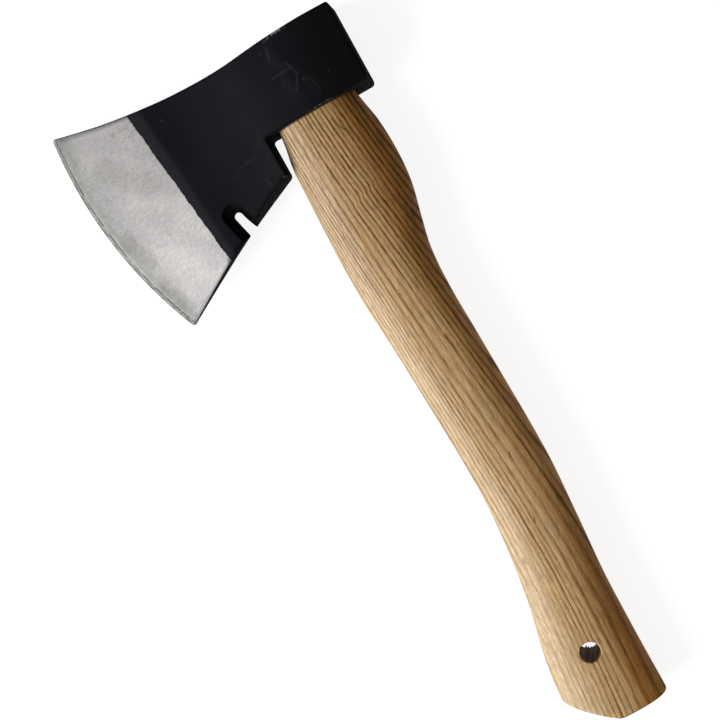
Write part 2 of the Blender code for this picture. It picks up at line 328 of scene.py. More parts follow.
def head_thickness(x, y):
    """Thickness between the cheeks, with the ground bevels and the sloped rim of the beard."""
    grind = grind_reach(x)
    honed = honed_reach(x)
    if y > honed:
        return blend(HONED_THICKNESS, EDGE_THICKNESS, (y - honed) / HONED_WIDTH)
    if y > grind:
        return blend(GRIND_THICKNESS, HONED_THICKNESS, (y - grind) / (honed - grind))
    along = (y - CHEEK_FLAT_REACH) / (grind - CHEEK_FLAT_REACH)
    thickness = CHEEK_THICKNESS
    if along > 0:
        thickness = blend(GRIND_THICKNESS, CHEEK_THICKNESS, smooth(CHEEK_TAPER, along))
    if y > BEARD_REACH:
        width = blend(BEARD_SLOPE_WIDTH, BEARD_SLOPE_END, (y - BEARD_REACH) / (grind - BEARD_REACH))
        reach = (x - beard_height(y)) / width
        thickness -= 2 * BEARD_SLOPE_DROP * max(0.0, 1 - reach)
    return thickness


def column_line(key_lines, place_on):
    """A line across the blade as y of x, at a place counted in key lines."""
    left = min(int(place_on), len(key_lines) - 2)
    share = place_on - left
    return lambda x: blend(key_lines[left](x), key_lines[left + 1](x), share)


def line_end(line, height):
    """Height at which a line across the blade meets an outline given as x of y."""
    x = 0.0
    for _ in range(LINE_END_TRIES):
        x = height(line(x))
    return x


def key_places(counts):
    """Places of all columns, counted in key lines, with so many between each pair."""
    places = [0.0]
    for k, count in enumerate(counts):
        places += [k + (i + 1) / count for i in range(count)]
    return places


CREASE = 0.25 * MM
LINE_END_TRIES = 30
KEY_LINES = (
    lambda x: -POLL_REACH,
    lambda x: BEARD_REACH,
    lambda x: facet_reach(x) - 2 * CREASE,
    lambda x: facet_reach(x) + 2 * CREASE,
    lambda x: grind_reach(x) - CREASE,
    lambda x: grind_reach(x) + CREASE,
    lambda x: honed_reach(x) - CREASE,
    lambda x: honed_reach(x) + CREASE / 2,
    edge_reach,
)
COLUMN_COUNTS = (22, 24, 1, 2, 1, 22, 1, 5)
BEARD_COLUMN = COLUMN_COUNTS[0]
UPPER_ROWS = 16
LOWER_ROWS = 12
RIM_ROWS = (0.0, 2.1 * MM, 3.1 * MM, 4.1 * MM, 5.2 * MM)


def tip_rounding(x, y):
    """How far the outline is drawn in at the toe and the heel, to round them."""
    reach = max(0.0, TIP_CORNER - (edge_reach(x) - y))
    return TIP_CORNER - math.sqrt(TIP_CORNER**2 - min(reach, TIP_CORNER) ** 2)


def head_grid():
    """Columns of (x, y) from the beard's or the head's lower line to its top line."""
    columns = []
    for k, place_on in enumerate(key_places(COLUMN_COUNTS)):
        line = column_line(KEY_LINES, place_on)
        top = line_end(line, top_height)
        top -= tip_rounding(top, line(top))
        heights = [blend(-HEAD_DROP, top, (j / UPPER_ROWS)) for j in range(UPPER_ROWS + 1)]
        lower = []
        if k >= BEARD_COLUMN:
            bottom = -BEARD_DROP if k == BEARD_COLUMN else line_end(line, beard_height)
            bottom += tip_rounding(bottom, line(bottom))
            lower = [bottom + rim for rim in RIM_ROWS]
            rest = LOWER_ROWS - len(RIM_ROWS)
            start = lower[-1]
            lower += [blend(start, -HEAD_DROP, (j + 1) / (rest + 1)) for j in range(rest)]
        columns.append(([(x, line(x)) for x in lower], [(x, line(x)) for x in heights]))
    return columns


def underside_slope(x, y):
    """How far the rims of the underside on the upper cheek lie above those on the lower cheek."""
    reach = HEAD_DROP if x > -HEAD_DROP else BEARD_DROP - HEAD_DROP
    fade = max(0.0, 1 - max(0.0, y - BEARD_REACH) / HEAD_DROP)
    slope = UNDERSIDE_SLOPE * fade * max(0.0, 1 - abs(x + HEAD_DROP) / reach)
    if BEARD_REACH <= y < BEARD_RECESS_END:
        fade = min(1.0, (BEARD_RECESS_END - y) / (BEARD_RECESS_END - BEARD_RECESS_START))
        slope += BEARD_RECESS * fade * max(0.0, 1 - (x - beard_height(y)) / BEARD_RECESS_DEPTH)
    return slope


def rim_size(x, y):
    """Radius of the softened rim at a place on the outline."""
    return min(RIM_RADIUS, RIM_SHARE * head_thickness(x, y))


def forging_wave(x, y, side):
    """Depth of the forging's slight waves in a cheek."""
    place_in_noise = Vector((x, y, side * FORGING_WAVE_SHIFT)) * FORGING_WAVE_PITCH
    return FORGING_WAVES * abs(noise.noise(place_in_noise))


def cheek_columns(bm, side):
    """One cheek's vertices in columns, with the faces between them."""
    columns = []
    for lower, upper in head_grid():
        column = []
        for x, y in lower + upper:
            half = head_thickness(x, y) / 2
            if side > 0:
                x += underside_slope(x, y)
            lift = side * (half - forging_wave(x, y, side))
            column.append(bm.verts.new((x, y, MIDDLE + lift)))
        columns.append(column)
    for left, right in zip(columns, columns[1:]):
        shift = len(right) - len(left)
        for j in range(len(left) - 1):
            bm.faces.new((left[j], left[j + 1], right[j + 1 + shift], right[j + shift]))
    return columns


def outline_loop(columns):
    """A cheek's vertices along its outline, from the beard round by the edge, the top and the poll."""
    loop = [column[0] for column in columns[BEARD_COLUMN:]]
    loop += columns[-1][1:]
    loop += [column[-1] for column in reversed(columns[:-1])]
    loop += reversed(columns[0][:-1])
    loop += [column[0] for column in columns[1:BEARD_COLUMN]]
    loop += reversed(columns[BEARD_COLUMN][1 : LOWER_ROWS + 1])
    return loop


# Radius of each corner of the outline that is softened from cheek to cheek, by its height and reach.
CORNER_RADII = {
    (-BEARD_DROP, BEARD_REACH): BEARD_CORNER,
    (-HEAD_DROP, BEARD_REACH): BEARD_CORNER,
    (-HEAD_DROP, -POLL_REACH): POLL_LOW_CORNER,
    (top_height(-POLL_REACH), -POLL_REACH): POLL_TOP_CORNER,
}
WIDEST_RADIUS = max(CORNER_RADII.values())


def weigh_edges(bm, weight, upper, lower, steps):
    """Gives each rim and corner its share of the bevel's width."""
    for i, j in steps:
        middle = (upper[i].co + upper[j].co) / 2
        if middle.y < honed_reach(middle.x) - HONED_WIDTH:
            share = rim_size(middle.x, middle.y) / WIDEST_RADIUS
            for loop in (upper, lower):
                bm.edges.get((loop[i], loop[j]))[weight] = share
        for corner, radius in CORNER_RADII.items():
            if (lower[i].co.xy - Vector(corner)).length < CREASE:
                bm.edges.get((upper[i], lower[i]))[weight] = radius / WIDEST_RADIUS


def head_blank():
    """The head before its eye and notch: two cheeks joined by walls, with softened edges."""
    bm = bmesh.new()
    weight = bm.edges.layers.float.new("bevel_weight_edge")
    upper, lower = [outline_loop(cheek_columns(bm, side)) for side in (1, -1)]
    steps = [(i, (i + 1) % len(upper)) for i in range(len(upper))]
    for i, j in steps:
        bm.faces.new((upper[i], upper[j], lower[j], lower[i]))
    weigh_edges(bm, weight, upper, lower, steps)
    head = make_object("hatchet_head", bm)
    bevel(head, WIDEST_RADIUS, 4, limit_method="WEIGHT", use_clamp_overlap=False, loop_slide=True)
    return head


def eye_half(size, x):
    """Half of the eye's length or width at a height."""
    return (size + EYE_FLARE * (x + HEAD_DROP) / (HEAD_RISE + HEAD_DROP)) / 2


def eye_ring(x, gap=0.0, count=96):
    """A section of the eye at a height, or of the tenon in it when there is a gap."""
    half = eye_half(EYE_LENGTH, x) - (END_GAP if gap > 0 else gap)
    section = oval(eye_half(EYE_WIDTH, x) - gap, EYE_SQUARENESS, count)
    return [(x, blend(-half, half, across), z) for across, z in section]


def quarter_turn(steps):
    """Sines and cosines from 0 to 90 degrees."""
    angles = [math.pi / 2 * k / steps for k in range(steps + 1)]
    return [(math.sin(angle), math.cos(angle)) for angle in angles]


def eye_cutter():
    """The eye, which opens out in a rounded mouth at each end."""
    radius = EYE_MOUTH_ROUNDING
    mouth = top_height(0.0)
    rings = [eye_ring(-HEAD_DROP - OVERCUT, -radius)]
    for sine, _ in quarter_turn(ROUNDING_STEPS):
        rings.append(eye_ring(-HEAD_DROP + radius * sine, -radius * (1 - sine)))
    for _, cosine in quarter_turn(ROUNDING_STEPS):
        rings.append(eye_ring(mouth - radius * cosine, -radius * (1 - cosine)))
    rings.append(eye_ring(mouth + OVERCUT, -radius))
    return loft(rings)


NOTCH_MOUTH_REACH = blend(BEARD_REACH, HEEL_REACH, NOTCH_ALONG)
NOTCH_MOUTH = Vector((beard_height(NOTCH_MOUTH_REACH), NOTCH_MOUTH_REACH))
NOTCH_INWARD = Vector((math.cos(NOTCH_ANGLE), -math.sin(NOTCH_ANGLE)))
NOTCH_ACROSS = Vector((-NOTCH_INWARD.y, NOTCH_INWARD.x))
# Side of the blade, height beyond its face, and how far the notch has opened there beside its flare.
NOTCH_LEVELS = (
    (-1, 4.6 * MM, 0.6 * MM), (-1, 0.6 * MM, 0.6 * MM), (-1, 0.0, 0.0), (1, 0.2 * MM, 0.0),
    (1, 0.48 * MM, 0.1 * MM), (1, 0.6 * MM, 0.3 * MM), (1, 4.6 * MM, 1.6 * MM),
)
NOTCH_LIP_STEPS = (1.1, 1.0, 0.85, 0.7, 0.55, 0.4, 0.2)
NOTCH_LIP_OUTSIDE = 1.2


def notch_ring(flares, opening):
    """The notch's outline at a level: a half circle at its inner end, and a lip on the beard's side."""
    radius = NOTCH_WIDTH / 2 + flares * NOTCH_FLARE + opening
    reach = NOTCH_DEPTH - NOTCH_WIDTH / 2 + flares * NOTCH_LEAN
    centre = NOTCH_MOUTH + NOTCH_INWARD * reach
    outside = centre - NOTCH_INWARD * 2 * NOTCH_DEPTH
    lip = blend(*NOTCH_LIP, min(flares, 1.0))
    ring = []
    for k in range(NOTCH_ARC + 1):
        angle = math.pi * k / NOTCH_ARC - math.pi / 2
        way = NOTCH_INWARD * math.cos(angle) + NOTCH_ACROSS * math.sin(angle)
        ring.append(centre + way * radius)
    ring.append(outside + NOTCH_ACROSS * radius)
    ring.append(outside - NOTCH_ACROSS * (radius + NOTCH_LIP_OUTSIDE * lip))
    for share in NOTCH_LIP_STEPS:
        ring.append(centre - NOTCH_INWARD * share * reach - NOTCH_ACROSS * (radius + lip * share**2))
    return ring


def notch_cutter():
    """The nail notch: narrow at the lower cheek, and wide and softened at the upper one."""
    rings = []
    for side, beyond, opening in NOTCH_LEVELS:
        level = side * (GRIND_THICKNESS / 2 + beyond)
        flares = max(0.0, level / GRIND_THICKNESS + 0.5)
        rings.append([(point.x, point.y, MIDDLE + level) for point in notch_ring(flares, opening)])
    return loft(rings)


# The notch's middle line in plan, in millimetres, from outside the mouth to the inner end.
NOTCH_LINE = (
    tuple((NOTCH_MOUTH - NOTCH_INWARD * NOTCH_WIDTH) / MM),
    tuple((NOTCH_MOUTH + NOTCH_INWARD * (NOTCH_DEPTH - NOTCH_WIDTH / 2)) / MM),
)
NOTCH_WALLS = NOTCH_WIDTH / 2 + NOTCH_FLARE + NOTCH_LEAN + NOTCH_LIP[1] + 1.0 * MM


def outline_points(height, start, end, steps=80):
    places = [blend(start, end, k / steps) for k in range(steps + 1)]
    return [(height(y), y) for y in places]


def distance_to_outline(points):
    """Distance of each point to the head's outline in plan, leaving out the cutting edge."""
    outline = [(-BEARD_DROP, BEARD_REACH), (-HEAD_DROP, BEARD_REACH), (-HEAD_DROP, -POLL_REACH)]
    outline += outline_points(top_height, -POLL_REACH, TOE_REACH)
    beard = outline_points(beard_height, BEARD_REACH, HEEL_REACH)
    return np.minimum(segment_distance(points, outline), segment_distance(points, beard))


def segment_distance(points, line):
    best = np.full(len(points), np.inf)
    for start, end in zip(line, line[1:]):
        start = np.array(start)
        way = np.array(end) - start
        share = np.clip(((points - start) @ way) / max(way @ way, 1e-12), 0, 1)
        gap = np.linalg.norm(points - start - share[:, None] * way, axis=1)
        best = np.minimum(best, gap)
    return best


def store_rim_distance(obj):
    """Keeps each point's distance to the outline, in millimetres, for the paint's edges."""
    points = []
    for vertex in obj.data.vertices:
        x, y, z = vertex.co
        share = min(max((z - MIDDLE) / head_thickness(x, y) + 0.5, 0.0), 1.0)
        points.append((x - underside_slope(x, y) * share, y))
    points = np.array(points)
    attribute = obj.data.attributes.new("rim_distance", "FLOAT", "POINT")
    attribute.data.foreach_set("value", distance_to_outline(points) / MM)


def make_head():
    head = head_blank()
    cut(head, "DIFFERENCE", eye_cutter(), notch_cutter())
    shade(head, SHARP_ANGLE)
    store_rim_distance(head)
    return head


# ------------------------ handle and wedges

GRIP_RINGS = 190
OVAL_POINTS = 96
STRAIGHT_RINGS = 0.72
CAP_RINGS = 6
END_RINGS = 10
WOOD_WAVES = 0.12 * MM
WOOD_WAVE_PITCH = (25, 60, 60)


def butt_setback(across):
    """How far the butt's end lies before the grip's full length, at a fraction across it."""
    return 0.0 if across < BUTT_FACET else smooth(BUTT_CURVE_LINE, across)


def grip_sides(share):
    """Places of the grip's poll side and blade side, at a share of the way from the head to the butt."""
    return -smooth(POLL_SIDE_LINE, share), smooth(EDGE_SIDE_LINE, share)


def grip_point(along, shift, inset, across, z, half):
    run = along * GRIP_LENGTH - shift * butt_setback(across)
    low, high = grip_sides(run / GRIP_LENGTH)
    centre = (low + high) / 2
    y = centre + (blend(low, high, across) - centre) * (1 - 2 * inset / (high - low))
    return (-HEAD_DROP - run, y, MIDDLE + (z - MIDDLE) * (1 - inset / half))


def grip_ring(along, shift, inset=0.0, shrink=1.0):
    """A section of the grip. Shift turns it from square (0) into the shape of the butt's end (1)."""
    half = smooth(THICKNESS_LINE, along) / 2
    squareness = blend(EYE_SQUARENESS, GRIP_SQUARENESS, min(along / BELLY_PLACE, 1))
    ring = []
    for across, z in oval(half, squareness, OVAL_POINTS):
        across = blend(0.5, across, shrink)
        z = blend(MIDDLE, z, shrink)
        ring.append(grip_point(along, shift, inset, across, z, half))
    return ring


def handle_rings():
    rings = [eye_ring(x, WOOD_GAP) for x in (TENON_TOP, TENON_TOP / 2, 0.0, -HEAD_DROP / 2)]
    for k in range(GRIP_RINGS + 1):
        along = blend(0.0, 1 - BUTT_ROUNDING / GRIP_LENGTH, k / GRIP_RINGS)
        shift = max(0.0, (along - STRAIGHT_RINGS) / (1 - STRAIGHT_RINGS))
        rings.append(grip_ring(along, shift))
    for sine, cosine in quarter_turn(CAP_RINGS)[1:]:
        along = 1 - BUTT_ROUNDING * (1 - sine) / GRIP_LENGTH
        rings.append(grip_ring(along, 1.0, BUTT_ROUNDING * (1 - cosine)))
    for k in range(1, END_RINGS):
        rings.append(grip_ring(1.0, 1.0, BUTT_ROUNDING, 1 - k / END_RINGS))
    return rings


def lanyard_levels(side):
    """Heights over the grip's face, from below up, and how far the hole has opened at each."""
    levels = [(OVERCUT, LANYARD_ROUNDING)]
    for sine, _ in quarter_turn(ROUNDING_STEPS):
        levels.append((-LANYARD_ROUNDING * sine, LANYARD_ROUNDING * (1 - sine)))
    if side > 0:
        return levels[::-1]
    return levels + [(-LANYARD_ROUNDING - LANYARD_SPLINTER_DEPTH, 0.0)]


def splinter(k):
    """How far a torn fibre reaches into the hole's lower rim."""
    place_in_noise = Vector((k * SPLINTER_PITCH, SPLINTER_SHIFT, 0.0))
    return LANYARD_SPLINTERS * max(0.0, noise.noise(place_in_noise))


def lanyard_ring(side, lift, opening):
    """The hole's outline at a height over the grip's oval face."""
    centre_x, centre_y = LANYARD_PLACE
    low, high = grip_sides((-HEAD_DROP - centre_x) / GRIP_LENGTH)
    torn = side < 0 and -LANYARD_ROUNDING - LANYARD_SPLINTER_DEPTH < lift < 0
    ring = []
    for k in range(OVAL_POINTS):
        angle = math.tau * k / OVAL_POINTS
        radius = LANYARD_HOLE / 2 + opening - (splinter(k) if torn else 0.0)
        x = centre_x + radius * math.cos(angle)
        y = centre_y + radius * math.sin(angle)
        across = abs(2 * (y - low) / (high - low) - 1)
        face = BUTT_THICKNESS / 2 * (1 - across**GRIP_SQUARENESS) ** (1 / GRIP_SQUARENESS)
        ring.append((x, y, MIDDLE + side * (face + lift)))
    return ring


def lanyard_hole():
    """A hole with rounded rims on the oval faces, and torn fibres at the lower rim."""
    return loft([lanyard_ring(side, *level) for side in (-1, 1) for level in lanyard_levels(side)])


WEDGE_GAP = 0.06 * MM
WEDGE_SLOT_RISE = 4.0 * MM
CORNERS = ((-1, -1), (1, -1), (1, 1), (-1, 1))
# Depth in the tenon, thickness at its top and at the tip, and width.
WOOD_WEDGE = (28.0 * MM, 4.6 * MM, 1.2 * MM, EYE_LENGTH + 6.0 * MM)
STEEL_WEDGE = (16.0 * MM, 2.4 * MM, 0.8 * MM, 15.0 * MM)
STEEL_WEDGE_REACH = 10.5 * MM
STEEL_WEDGE_ROUNDING = 0.15 * MM


def wedge_block(size, gap=0.0):
    """A wedge, thin across Y, that narrows from the tenon's top, or its slot when there is a gap."""
    depth, top, tip, width = size
    rise = WEDGE_SLOT_RISE if gap else 0.0
    upper = top + rise * (top - tip) / depth
    wide = width / 2 + gap
    rings = []
    for x, thickness in ((TENON_TOP - depth - gap, tip), (TENON_TOP + rise, upper)):
        thin = thickness / 2 + gap
        rings.append([(x, y * thin, MIDDLE + z * wide) for y, z in CORNERS])
    return loft(rings)


def wood_wedge_block(gap=0.0):
    bm = wedge_block(WOOD_WEDGE, gap)
    turn = Matrix.Rotation(math.pi / 2, 3, "X")
    bmesh.ops.rotate(bm, verts=bm.verts, cent=(0.0, 0.0, MIDDLE), matrix=turn)
    return bm


def steel_wedge_block(reach, gap=0.0):
    bm = wedge_block(STEEL_WEDGE, gap)
    bmesh.ops.translate(bm, verts=bm.verts, vec=(0.0, reach, 0.0))
    return bm


def steel_wedge_slots():
    return [steel_wedge_block(side * STEEL_WEDGE_REACH, WEDGE_GAP) for side in (-1, 1)]


def ripple(bm):
    """Presses slight waves into the grip, off its middle line."""
    for vertex in bm.verts:
        if vertex.co.x < -HEAD_DROP - EYE_LENGTH / 2:
            outwards = (vertex.co - Vector((vertex.co.x, 0.0, MIDDLE))).normalized()
            wave = noise.noise(vertex.co * Vector(WOOD_WAVE_PITCH))
            vertex.co -= outwards * WOOD_WAVES * abs(wave)


def make_handle():
    bm = loft(handle_rings())
    ripple(bm)
    handle = make_object("ash_handle", bm)
    cut(handle, "DIFFERENCE", lanyard_hole(), wood_wedge_block(WEDGE_GAP), *steel_wedge_slots())
    shade(handle, SHARP_ANGLE)
    return handle


def make_wood_wedge():
    wedge = make_object("tenon_wedge", wood_wedge_block())
    cut(wedge, "INTERSECT", loft([eye_ring(x, WOOD_GAP) for x in (TENON_TOP + OVERCUT, -HEAD_DROP)]))
    cut(wedge, "DIFFERENCE", *steel_wedge_slots())
    shade(wedge, WOOD_WEDGE_SHARP_ANGLE)
    return wedge


def make_steel_wedge(name, reach):
    wedge = make_object(name, steel_wedge_block(reach))
    bevel(wedge, STEEL_WEDGE_ROUNDING, 2)
    shade(wedge, STEEL_WEDGE_SHARP_ANGLE)
    return wedge


# ------------------------ materials


class Value:
    """A node's output. Arithmetic with it adds nodes to its graph and gives a new value."""

    def __init__(self, graph, socket):
        self.graph = graph
        self.socket = socket

    def math(self, operation, *others, clamp=False):
        return self.graph.math(operation, self, *others, clamp=clamp)

    __add__ = partialmethod(math, "ADD")
    __sub__ = partialmethod(math, "SUBTRACT")
    __mul__ = partialmethod(math, "MULTIPLY")
    __abs__ = partialmethod(math, "ABSOLUTE")
    times_plus = partialmethod(math, "MULTIPLY_ADD")
    least = partialmethod(math, "MINIMUM")
    most = partialmethod(math, "MAXIMUM")

    def __rsub__(self, other):
        return self.graph.math("SUBTRACT", other, self)

    def gap(self, other):
        """How far apart two values are."""
        return abs(self - other)

    def nudge(self, noise, amount):
        """The value moved by noise, by up to half an amount each way."""
        return (noise - 0.5).times_plus(amount, self)

    def line(self, low, high, start=0.0, end=1.0, kind="LINEAR"):
        """A straight slope between two values, level beyond them."""
        inputs = {"Value": self, "From Min": low, "From Max": high, "To Min": start, "To Max": end}
        return self.graph.add("ShaderNodeMapRange", 0, inputs, interpolation_type=kind)

    step = partialmethod(line, kind="SMOOTHSTEP")

    def mix(self, share, other):
        """A colour blended with another."""
        return self.graph.mix(share, self, other)

    def tint(self, share, factor):
        """A colour multiplied by a factor, to a share."""
        return self.graph.mix(share, self, factor, "MULTIPLY")

    def curve(self, points):
        """A smooth curve through (input, output) points, level beyond the first and the last."""
        inputs = [point[0] for point in points]
        outputs = [point[1] for point in points]
        low, high = min(outputs), max(outputs)
        node = self.graph.tree.nodes.new("ShaderNodeFloatCurve")
        curve = node.mapping.curves[0]
        while len(curve.points) < len(points):
            curve.points.new(0.5, 0.5)
        for target, (x, y) in zip(curve.points, points):
            target.location = ((x - inputs[0]) / (inputs[-1] - inputs[0]), (y - low) / (high - low))
        node.mapping.update()
        self.graph.feed(node.inputs["Value"], self.line(inputs[0], inputs[-1]))
        return Value(self.graph, node.outputs[0]).line(0.0, 1.0, low, high)


class Graph:
    """Adds nodes to one material and joins them. Each call gives the new node's output as a value."""

    def __init__(self, name):
        self.material = bpy.data.materials.new(name)
        self.material.use_nodes = True
        self.tree = self.material.node_tree
        self.shader = self.tree.nodes["Principled BSDF"]
        coordinates = self.add("ShaderNodeTexCoord", "Object", {})
        self.mm = self.vector("SCALE", coordinates, scale=1 / MM)
        self.x, self.y, self.z = self.split(self.mm)
        self.flat = self.join(self.x, self.y, 0.0)

    def add(self, kind, output, inputs, **settings):
        node = self.tree.nodes.new(kind)
        for key, value in settings.items():
            setattr(node, key, value)
        for key, value in inputs.items():
            self.feed(node.inputs[key], value)
        return Value(self, node.outputs[output])

    def feed(self, socket, value):
        if isinstance(value, Value):
            self.tree.links.new(value.socket, socket)
        else:
            socket.default_value = value

    def set(self, **inputs):
        for key, value in inputs.items():
            self.feed(self.shader.inputs[key.replace("_", " ")], value)

    def math(self, operation, a, b=0.0, c=0.0, clamp=False):
        inputs = {0: a, 1: b, 2: c}
        return self.add("ShaderNodeMath", 0, inputs, operation=operation, use_clamp=clamp)

    def vector(self, operation, a, b=None, scale=None):
        inputs = {0: a}
        if b is not None:
            inputs[1] = b
        if scale is not None:
            inputs["Scale"] = scale
        output = 1 if operation in ("LENGTH", "DISTANCE", "DOT_PRODUCT") else 0
        return self.add("ShaderNodeVectorMath", output, inputs, operation=operation)

    def split(self, vector):
        node = self.tree.nodes.new("ShaderNodeSeparateXYZ")
        self.feed(node.inputs[0], vector)
        return [Value(self, socket) for socket in node.outputs]

    def join(self, x, y, z):
        return self.add("ShaderNodeCombineXYZ", 0, {0: x, 1: y, 2: z})

    def noise(self, vector, scale=1.0, detail=2.0, roughness=0.5):
        """Noise at a place, or at the place in millimetres with each axis scaled."""
        if isinstance(vector, tuple):
            vector = self.vector("MULTIPLY", self.mm, vector)
        inputs = {"Vector": vector, "Scale": scale, "Detail": detail, "Roughness": roughness}
        return self.add("ShaderNodeTexNoise", 0, inputs)

    def mix(self, share, a, b, kind="MIX"):
        """Blends two colours."""
        inputs = {0: share, 6: self.rgba(a), 7: self.rgba(b)}
        return self.add("ShaderNodeMix", 2, inputs, data_type="RGBA", blend_type=kind)

    def rgba(self, colour):
        """A value as it is, and red, green and blue or a grey as a full colour."""
        if isinstance(colour, float):
            colour = (colour, colour, colour)
        return (*colour, 1.0) if isinstance(colour, tuple) else colour

    def bump(self, height, distance, strength):
        inputs = {"Height": height, "Distance": distance, "Strength": strength}
        return self.add("ShaderNodeBump", 0, inputs)


# Flow of the ash grain, in millimetres: how far the growth lines lie apart, and how they drift.
GRAIN_SPREAD = (
    (-335, 0.70), (-265, 0.79), (-220, 0.87), (-165, 1.0), (-115, 1.16), (-25, 1.37),
    (20, 1.49),
)
GRAIN_DRIFT = (
    (-335, -3.4), (-310, -4.6), (-280, -5.8), (-250, -5.7), (-190, -2.5), (-145, 2.2),
    (-85, 9.2), (-25, 16.4), (20, 22.0),
)
# Number of growth lines passed, from the poll side to the blade side.
RING_COUNT = (
    (-60.0, 0.0), (-33.6, 9.0), (-13.0, 16.0), (-5.3, 19.0), (-2.2, 20.0), (1.7, 21.0),
    (5.2, 22.0), (7.5, 23.0), (14.8, 27.0), (30.0, 35.0),
)
# Small dark cracks and specks in the wood: a line in plan in millimetres, half width and strength.
WOOD_MARKS = (
    (((-26.5, -5.0), (-29.5, -5.8), (-31.5, -6.9), (-34.2, -8.3)), 0.65, 0.6),
    (((-48.0, 13.1), (-52.0, 13.6)), 0.7, 0.35),
    (((-76.0, -14.0), (-84.0, -15.5)), 1.3, 0.35),
    (((-199.0, -2.3), (-201.0, -1.6)), 0.8, 0.6),
    (((-231.0, 2.0), (-233.0, 3.0)), 0.8, 0.6),
    (((-246.5, 16.4), (-248.5, 16.6)), 0.7, 0.55),
)
# How far the growth lines sway, in millimetres, and how the noise that moves them is stretched.
GRAIN_SWAYS = (
    (2.6, (0.008, 0.05, 0.05)), (0.7, (0.03, 0.16, 0.16)), (0.30, (0.09, 0.45, 0.45)),
    (0.9, (0.004, 0.40, 0.25)),
)
# A slight fault across the grain, where the growth lines step sideways.
FAULT_PLACE = -64.0
# Steps along the grip's middle line, and a distance beyond everything on the hatchet.
GRIP_MIDDLE_STEPS = 20
FAR_AWAY = 1000.0


def grain_place(graph):
    """Place across the growth lines, in millimetres at the middle of the grip."""
    depth = graph.z - (MIDDLE + GRIP_THICKNESS / 2) / MM
    bowed = graph.y + depth * depth * 0.004
    across = bowed * graph.x.curve(GRAIN_SPREAD) - graph.x.curve(GRAIN_DRIFT)
    for sway, stretch in GRAIN_SWAYS:
        across = across.nudge(graph.noise(stretch, detail=1.0), sway)
    slant = graph.y.times_plus(0.35, graph.x)
    breadth = abs(graph.y + 2.0).step(12.0, 4.0)
    fault = slant.step(FAULT_PLACE - 1.5, FAULT_PLACE + 1.5, -0.5, 0.5)
    faded = slant.gap(FAULT_PLACE).step(14.0, 4.0)
    return (fault * breadth).times_plus(faded, across)


def growth_lines(graph, side):
    """Each growth line's dark core and its warm flanks, and the fainter lines within the growth; the lines
    fade towards the lit blade side as painted light.
    """
    rings = grain_place(graph).curve(RING_COUNT)
    ring = rings.math("ROUND")
    ragged = graph.noise((0.06, 1.6, 1.6), detail=3.0, roughness=0.65)
    off = (rings - ring).nudge(ragged, 0.40)
    own = graph.add("ShaderNodeTexWhiteNoise", 0, {"W": ring}, noise_dimensions="1D")
    along = graph.noise(graph.join(graph.x * 0.04, ring * 7.3, 0.0), detail=3.0)
    strength = along.step(0.25, 0.60, 0.55, 1.0) * own.line(0.0, 1.0, 0.45, 1.0)
    # Painted light: the lines fade towards the lit blade side.
    strength *= side.step(5.0, 15.0, 1.0, 0.75)
    strength = strength.math("MULTIPLY", graph.x.step(-70.0, -125.0, 1.25, 0.95), clamp=True)
    # Painted light: the lines fade further on the blade side near the butt.
    paler = graph.x.step(-210.0, -260.0) * side.step(2.0, 9.0, 0.0, 0.45)
    strength *= 1.0 - paler
    flanks = off.step(-0.30, -0.06).least(off.step(0.55, 0.05))
    early = off.step(-0.17, -0.05).least(off.step(0.33, 0.05))
    threads = graph.noise((0.16, 1.8, 1.8), detail=3.0, roughness=0.7)
    early *= threads.step(0.38, 0.56, 0.62, 1.0)
    late = rings.times_plus(3.0, ragged * 1.6).math("FRACT").gap(0.5).step(0.30, 0.05)
    return early * strength, flanks * strength, late


def grip_side(graph, sway):
    """Distance from the grip's middle line towards the blade side, in millimetres."""
    middle = []
    for k in range(GRIP_MIDDLE_STEPS, -1, -1):
        at = k / GRIP_MIDDLE_STEPS
        middle.append(((-HEAD_DROP - at * GRIP_LENGTH) / MM, sum(grip_sides(at)) / 2 / MM))
    return (graph.y - graph.x.curve(middle)).nudge(sway, 12.0)


def stroke_distance(graph, line):
    """Distance in plan to a point, or to a line through a few points."""
    if len(line) == 1:
        return graph.vector("DISTANCE", graph.flat, (*line[0], 0.0))
    nearest = FAR_AWAY
    for start, end in zip(line, line[1:]):
        start = Vector((*start, 0.0))
        way = Vector((*end, 0.0)) - start
        off = graph.vector("SUBTRACT", graph.flat, start)
        share = graph.math("DIVIDE", graph.vector("DOT_PRODUCT", off, way), way.length_squared, clamp=True)
        reach = graph.vector("DISTANCE", off, graph.vector("SCALE", way, scale=share))
        nearest = graph.math("MINIMUM", nearest, reach)
    return nearest


def strokes(graph, lines, ragged, raggedness):
    """A mask of soft strokes, each with its half width and strength, with ragged outlines."""
    mask = 0.0
    uneven = (ragged - 0.5) * raggedness
    for line, width, strength in lines:
        reach = stroke_distance(graph, line) + uneven
        mask = graph.math("MAXIMUM", mask, reach.step(width, width * 0.15, 0.0, strength))
    return mask


def ash_shades(graph, side):
    """The wood between the growth lines and its darker tone: paler towards the blade side, partly the
    ash's own colour and partly painted light.
    """
    brown = graph.mix(graph.x.step(-100.0, -150.0), (0.355, 0.175, 0.045), (0.47, 0.255, 0.085))
    # Paler from the poll side to the blade side: partly the ash's own colour, partly painted light where
    # the lamp falls.
    light = brown.mix(side.step(-15.0, -2.0), (0.555, 0.380, 0.182))
    light = light.mix(side.step(1.0, 17.0), (0.60, 0.462, 0.292))
    light = light.tint(graph.x.step(-115.0, -70.0), (0.87, 0.85, 0.83))
    # Painted shade: darker and browner on the poll side near the butt.
    painted_shade_by_poll = graph.x.step(-210.0, -260.0) * side.step(-8.0, -17.0)
    light = light.tint(painted_shade_by_poll, (0.86, 0.72, 0.55))
    return light, light.mix(0.66, (0.070, 0.026, 0.003))


